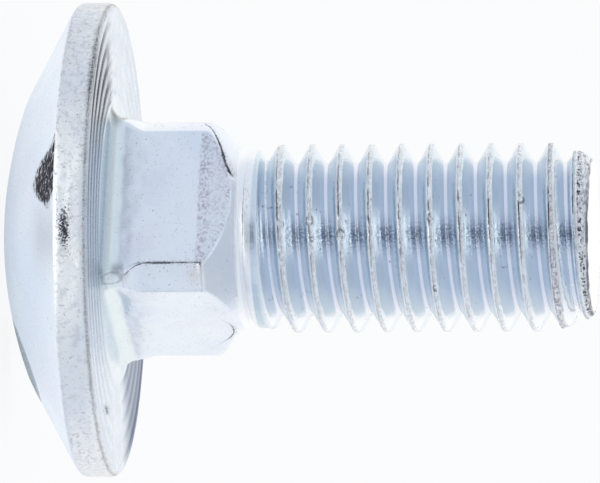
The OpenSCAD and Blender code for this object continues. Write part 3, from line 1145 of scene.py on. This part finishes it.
def build_bolt(sizes, finish):
    """The plated bolt as one closed mesh, with its three finishes."""
    form = BoltForm(sizes)
    points, faces = bolt_mesh(form, sizes.columns)
    mesh = bpy.data.meshes.new("plated_bolt")
    mesh.from_pydata(points.tolist(), [], faces)
    for name, values in surface_marks(form, points).items():
        layer = mesh.attributes.new(name, "FLOAT", "POINT")
        layer.data.foreach_set("value", values.astype(np.float32))
    work = bmesh.new()
    work.from_mesh(mesh)
    bmesh.ops.remove_doubles(work, verts=work.verts, dist=MERGE_DISTANCE)
    bmesh.ops.dissolve_degenerate(work, edges=work.edges, dist=SHORTEST_EDGE)
    bmesh.ops.recalc_face_normals(work, faces=work.faces)
    rim_low, rim_high = form.dome_h + 0.02 * MM, form.face_z - 0.02 * MM
    rim_inner = form.rim_r - 0.25 * MM
    for face in work.faces:
        middle = face.calc_center_median()
        face.smooth = True
        if middle.z > form.collar_z - 0.1 * MM:
            face.material_index = THREAD_SLOT
        elif rim_low < middle.z < rim_high and math.hypot(middle.x, middle.y) > rim_inner:
            face.material_index = RIM_SLOT
    work.to_mesh(mesh)
    work.free()
    groups = {"specks": specks_group(), "plating": plating_group(), "grain": grain_group()}
    mesh.materials.append(plating_material(finish, groups))
    mesh.materials.append(rim_material(finish, groups))
    mesh.materials.append(thread_material(finish, groups, form))
    return add_object("plated_bolt", mesh)


def camera_axes(azimuth, elevation, roll):
    """The camera's right, up and backward: the bolt's axis lies along the picture."""
    sa, ca = math.sin(azimuth), math.cos(azimuth)
    se, ce = math.sin(elevation), math.cos(elevation)
    back = Vector((sa * ce, -ca * ce, se))
    right = Vector((-sa * se, ca * se, ce))
    turn_by = Matrix.Rotation(roll, 3, back)
    return turn_by @ right, turn_by @ back.cross(right), back


def add_camera(stage):
    right, up, back = camera_axes(stage.azimuth, stage.elevation, stage.roll)
    data = bpy.data.cameras.new("camera")
    data.sensor_width = SENSOR_WIDTH
    data.sensor_fit = "HORIZONTAL"
    data.lens = stage.pixels_per_metre * stage.distance / IMAGE_WIDTH * SENSOR_WIDTH
    data.clip_start = 0.01
    data.clip_end = 20.0
    camera = add_object("camera", data)
    place = Matrix((right, up, back)).transposed().to_4x4()
    aim = Vector((0, 0, stage.aim_h)) - up * stage.aim_drop
    place.translation = aim + back * stage.distance
    camera.matrix_world = place
    bpy.context.scene.camera = camera


# Panels of the light tent. In degrees: turn from the camera's side (up in the picture is
# positive), elevation, half width, half height, soft edge. Then the light of the panel.
TENT_PANELS = (
    (10.0, 0.0, 104.0, 44.0, 24.0, (0.72, 0.79, 0.89)),
    (5.0, 0.0, 24.0, 18.0, 18.0, (0.50, 0.56, 0.66)),
    (5.0, 0.0, 10.0, 9.0, 9.0, (0.22, 0.26, 0.32)),
    (180.0, 90.0, 360.0, 45.0, 15.0, (0.58, 0.63, 0.70)),
    (180.0, 6.0, 55.0, 22.0, 18.0, (1.06, 1.06, 1.06)),
)
# The floor close to the bolt: grey on the camera's side, with a bright patch in its middle
NEAR_PANELS = (
    (10.0, 0.0, 100.0, 44.0, 20.0, (0.62, 0.68, 0.78)),
    (6.0, 0.0, 30.0, 44.0, 20.0, (1.5, 1.52, 1.5)),
)
# Distances from the axis, in metres, over which the floor's reflected light changes
UNDER_SKIRT = (0.002, 0.009)
BESIDE_HEAD = (0.010, 0.014)
OPEN_FLOOR = (0.024, 0.034)
WHITE = (1.0, 1.0, 1.0, 1.0)


def tent_light(nodes, direction, elevation, stage, panels):
    """Colour of the light tent in a direction."""
    a = stage.azimuth
    ahead = nodes.vector("DOT_PRODUCT", direction, (math.sin(a), -math.cos(a), 0.0))
    up = nodes.vector("DOT_PRODUCT", direction, (-math.cos(a), -math.sin(a), 0.0))
    around = nodes.math("ARCTAN2", up, ahead)
    tree = bpy.data.node_groups.get("Tent Panel") or panel_group()
    names = ("Middle_Turn", "Middle_Elevation", "Half_Width", "Half_Height", "Edge")
    colour = (*stage.tent, 1.0)
    for *degrees, light in panels:
        sizes = dict(zip(names, map(math.radians, degrees)))
        mask = nodes.group(tree, Turn=around, Elevation=elevation, **sizes)
        colour = nodes.colour(mask, colour, (*light, 1.0))
    return colour


def add_floor(stage):
    """A round floor, white to the camera and in reflections, which keeps part of the shadow."""
    mesh = bpy.data.meshes.new("floor")
    work = bmesh.new()
    bmesh.ops.create_circle(work, cap_ends=True, segments=96, radius=stage.floor_r)
    work.to_mesh(mesh)
    work.free()
    floor = add_object("floor", mesh)
    material = bpy.data.materials.new("floor_white")
    nodes = cleared_nodes(material)
    paths = nodes.add("ShaderNodeLightPath").outputs
    seen = nodes.larger(paths["Is Camera Ray"], paths["Is Glossy Ray"])
    seen = nodes.larger(seen, paths["Is Transmission Ray"])
    matt = nodes.fed("ShaderNodeBsdfDiffuse", {"Color": WHITE})[0]
    place = nodes.add("ShaderNodeTexCoord").outputs["Object"]
    away = nodes.vector("LENGTH", place)
    outward = nodes.vector("NORMALIZE", place)
    far, close = (tent_light(nodes, outward, 0.0, stage, p) for p in (TENT_PANELS, NEAR_PANELS))
    under = nodes.colour(nodes.span(away, *UNDER_SKIRT), (*stage.under, 1.0), (*stage.around, 1.0))
    close = nodes.colour(nodes.span(away, *BESIDE_HEAD), under, close)
    tent = nodes.colour(nodes.span(away, *OPEN_FLOOR), close, far)
    light = nodes.colour(paths["Is Camera Ray"], tent, WHITE)
    glow = nodes.fed("ShaderNodeEmission", {"Color": light, "Strength": 1.0})[0]
    kept = nodes.times(seen, 1.0 - stage.shadow)
    surface = nodes.fed("ShaderNodeMixShader", {0: kept, 1: matt, 2: glow})[0]
    nodes.fed("ShaderNodeOutputMaterial", {"Surface": surface})
    mesh.materials.append(material)


def add_world(stage):
    """A white light tent with a few grey panels."""
    world = bpy.data.worlds.new("light_tent")
    nodes = cleared_nodes(world)
    direction = nodes.vector("NORMALIZE", nodes.add("ShaderNodeTexCoord").outputs["Generated"])
    upward = nodes.fed("ShaderNodeSeparateXYZ", {0: direction})["Z"]
    colour = tent_light(nodes, direction, nodes.math("ARCSINE", upward), stage, TENT_PANELS)
    paths = nodes.add("ShaderNodeLightPath").outputs
    colour = nodes.colour(paths["Is Camera Ray"], colour, WHITE)
    light = nodes.fed("ShaderNodeBackground", {"Color": colour, "Strength": 1.0})[0]
    nodes.fed("ShaderNodeOutputWorld", {"Surface": light})
    bpy.context.scene.world = world


def add_lamps(stage):
    """Two square softboxes: one above the camera's side, and a larger one above the far side."""
    aim = Vector((0.0, 0.0, stage.aim_h))
    _, up, back = camera_axes(stage.azimuth, 0.0, 0.0)
    top = Vector((0, 0, 0.5))
    for name, place, size in (
        ("softbox_above", top + back * 0.24 + up * 0.06, 0.16),
        ("softbox_behind", top - back * 0.3 - up * 0.2, 0.3),
    ):
        data = bpy.data.lights.new(name, "AREA")
        data.shape = "SQUARE"
        data.size = size
        data.energy = stage.lamp_watts
        lamp = add_object(name, data)
        lamp.location = place
        lamp.rotation_euler = (aim - place).to_track_quat("-Z", "Y").to_euler()


# Settings that a user changes

def length(name, metres):
    return FloatProperty(name=name, default=metres, unit="LENGTH", precision=5)


def mm(name, millimetres):
    return length(name, millimetres * MM)


def turn(name, degrees):
    return FloatProperty(name=name, default=math.radians(degrees), subtype="ANGLE")


def factor(name, default):
    return FloatProperty(name=name, default=default, min=0.0, max=1.0, subtype="FACTOR")


def tint(name, *colour):
    return FloatVectorProperty(name=name, default=colour, size=3, subtype="COLOR", min=0.0, max=2.0)


class BoltSizes(bpy.types.PropertyGroup):
    """Sizes of the bolt. They repeat the solid's own sizes."""

    head_d: length("Head, over the rim", BOLT_HIGH.x - BOLT_LOW.x)
    total_h: length("Height from the crown to the end face", BOLT_HIGH.z)
    head_h: mm("Height from the crown to the bearing face", 4.6)
    rim_h: mm("Height of the upright rim", 1.4)
    skirt_w: mm("Width of the straight skirt inside the rim", 3.6)
    skirt_a: turn("Slope of the straight skirt", 29.0)
    crown_flat_d: mm("Diameter of the flat at the top of the dome", 2.4)
    rim_skirt_r: mm("Radius of the edge between skirt and rim", 0.25)
    rim_face_r: mm("Radius of the edge between rim and face", 0.3)
    ring_count: IntProperty(name="Rings on the bearing face", default=5)
    ring_pitch: mm("Distance from one ring to the next", 0.8)
    ring_w: mm("Width of one ring's groove", 0.3)
    ring_depth: mm("Depth of one ring's groove", 0.06)
    neck_w: mm("Neck, across the flats of the square", 7.9)
    neck_corner_d: mm("Neck, across the worn corners", 10.0)
    neck_l: mm("Length of the full square", 4.2)
    shoulder_l: mm("Length of the shoulder down to the collar", 1.25)
    collar_d: mm("Diameter between shoulder and thread", 7.4)
    neck_root_r: mm("Radius of the hollow at the head", 0.6)
    thread_d: mm("Thread, over the crests", 7.86)
    root_d: mm("Thread, at the root", 6.32)
    pitch: mm("Pitch of the thread", 1.25)
    root_w: mm("Width of the flat at the root", 0.16)
    runout_l: mm("Length over which the thread runs out", 2.0)
    point_d: mm("Diameter over the crests at the end", 6.7)
    point_l: mm("Length of the pointed stretch", 1.55)
    end_bevel: mm("Bevel on the edge of the end face", 0.12)
    thread_turn: turn("Turn of the thread's start about the axis", 170.0)
    columns: IntProperty(name="Columns of the mesh about the axis", default=224)


class BoltFinish(bpy.types.PropertyGroup):
    """Colours and gloss of the plating, and of the painted highlights and shade."""

    plating: tint("Bright zinc on dome and neck", 0.88, 0.915, 0.955)
    rim: tint("Tumbled zinc on the rim", 0.90, 0.905, 0.885)
    rolled: tint("Zinc on the thread's flanks", 0.71, 0.785, 0.84)
    rolled_cyan: tint("Greener zinc on the flanks", 0.70, 0.80, 0.835)
    root: tint("Burnished root of the thread", 0.84, 0.84, 0.92)
    crest: tint("Battered crests", 0.93, 0.95, 0.97)
    cool: tint("Blue cast in the plating", 0.76, 0.83, 0.95)
    warm: tint("Pink cast in the plating", 0.89, 0.88, 0.93)
    face: tint("Zinc on the bearing face", 0.68, 0.74, 0.82)
    cove: tint("Zinc in the hollow at the neck's foot", 0.78, 0.86, 0.85)
    mauve: tint("Worn specks at the neck's shoulder", 0.36, 0.29, 0.35)
    ochre: tint("Rusty tint on the neck's corner", 0.80, 0.66, 0.50)
    worn: tint("Rough metal on the last crests", 0.66, 0.67, 0.69)
    # Rubbed zinc, and also painted highlights on flanks, collar and rim
    bright: tint("Freshly rubbed zinc, and painted highlights", 0.97, 0.975, 0.985)
    # Painted shade deep in the grooves
    deep: tint("Painted shade deep in the thread's grooves", 0.66, 0.72, 0.83)
    # Painted dark reflection on the far part of the face
    shade: tint("Painted dark reflection, dull blue, on the far part of the face", 0.08, 0.10, 0.20)
    # Grime, and painted shade in the rings, at the neck's foot and along the crests
    soot_and_shade: tint("Grime and painted shade in rings, edges, seams and along the crests", 0.01, 0.014, 0.03)
    # Also the painted dark streaks on the collar
    haze: tint("Dull patch on the dome, and painted dark streaks on the collar", 0.55, 0.57, 0.60)
    # Painted grains of shade about the thread's root
    root_glint_and_shade: tint("Painted dark grains of shade about the thread's root", 0.24, 0.33, 0.46)
    # Painted shade on the flanks that face the head, and in the cool patch at the neck's foot
    painted_dim: tint("Painted shade on the flanks that face the head and at the neck's foot", 0.46, 0.57, 0.67)
    # Painted highlights on edges, and the end face painted white
    gleam: tint("Bright edges and painted highlights, also on the end face", 1.0, 1.0, 1.0)
    # Painted dark reflection on the dome
    dull: tint("Dull leaf on the dome, a painted dark reflection", 0.41, 0.48, 0.47)
    scuffed: tint("Rubbed zinc at the neck's shoulder", 0.62, 0.60, 0.66)
    speck: tint("Dark specks and pits, and a painted dark line on the collar", 0.22, 0.22, 0.26)
    burnt: tint("Scorched patches and folds", 0.015, 0.014, 0.02)
    roughness: factor("Roughness of the bright plating", 0.24)


class BoltStage(bpy.types.PropertyGroup):
    """Camera, floor and light."""

    azimuth: turn("Turn of the camera about the bolt", 26.6)
    elevation: turn("Height of the camera, as an angle", 6.4)
    roll: turn("Turn of the picture", -0.36)
    distance: length("Distance from the camera to the bolt", 0.4)
    aim_h: mm("Height at the middle of the picture", 12.29)
    aim_drop: mm("How far the aim lies below the axis", 0.12)
    pixels_per_metre: FloatProperty(name="Picture elements per metre at the bolt", default=23900.0)
    floor_r: length("Radius of the floor", 3.0)
    shadow: factor("Share of the shadow that the floor keeps", 0.12)
    tent: tint("Light of the white tent", 0.93, 0.955, 0.99)
    under: tint("Light of the floor under the crown", 0.66, 0.72, 0.80)
    around: tint("Light of the floor under the skirt", 0.97, 1.02, 1.07)
    lamp_watts: FloatProperty(name="Power of each softbox", default=0.03, unit="POWER")


class BOLT_OT_plated_bolt(bpy.types.Operator):
    """Make the plated bolt and its finishes"""

    bl_idname = "bolt.plated_bolt"
    bl_label = "Plated Bolt"

    def execute(self, context):
        bolt = build_bolt(context.scene.bolt_sizes, context.scene.bolt_finish)
        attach(bolt, "root")
        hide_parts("bolt")
        return {"FINISHED"}


class BOLT_OT_stage(bpy.types.Operator):
    """Set up the camera, the white floor and the light tent"""

    bl_idname = "bolt.stage"
    bl_label = "Stage"

    def execute(self, context):
        context.scene.view_settings.view_transform = "Standard"
        for add in (add_camera, add_floor, add_world, add_lamps):
            add(context.scene.bolt_stage)
        return {"FINISHED"}


class BOLT_PT_panel(bpy.types.Panel):
    """Sizes, colours and operators of the carriage bolt"""

    bl_idname = "BOLT_PT_panel"
    bl_label = "Carriage Bolt"
    bl_space_type = "VIEW_3D"
    bl_region_type = "UI"
    bl_category = "Carriage Bolt"

    def draw(self, context):
        for operator in OPERATORS:
            self.layout.operator(operator.bl_idname)
        for name in SETTINGS:
            group = getattr(context.scene, name)
            box = self.layout.box()
            for setting in group.__annotations__:
                box.prop(group, setting)


SETTINGS = {"bolt_sizes": BoltSizes, "bolt_finish": BoltFinish, "bolt_stage": BoltStage}
OPERATORS = (BOLT_OT_plated_bolt, BOLT_OT_stage)
CLASSES = (*SETTINGS.values(), *OPERATORS, BOLT_PT_panel)


def register():
    for item in CLASSES:
        bpy.utils.register_class(item)
    for name, group in SETTINGS.items():
        setattr(bpy.types.Scene, name, PointerProperty(type=group))


def unregister():
    for name in SETTINGS:
        delattr(bpy.types.Scene, name)
    for item in reversed(CLASSES):
        bpy.utils.unregister_class(item)


def main():
    register()
    bpy.ops.bolt.plated_bolt()
    bpy.ops.bolt.stage()
    bpy.context.view_layer.update()


if __name__ == "__main__":
    main()
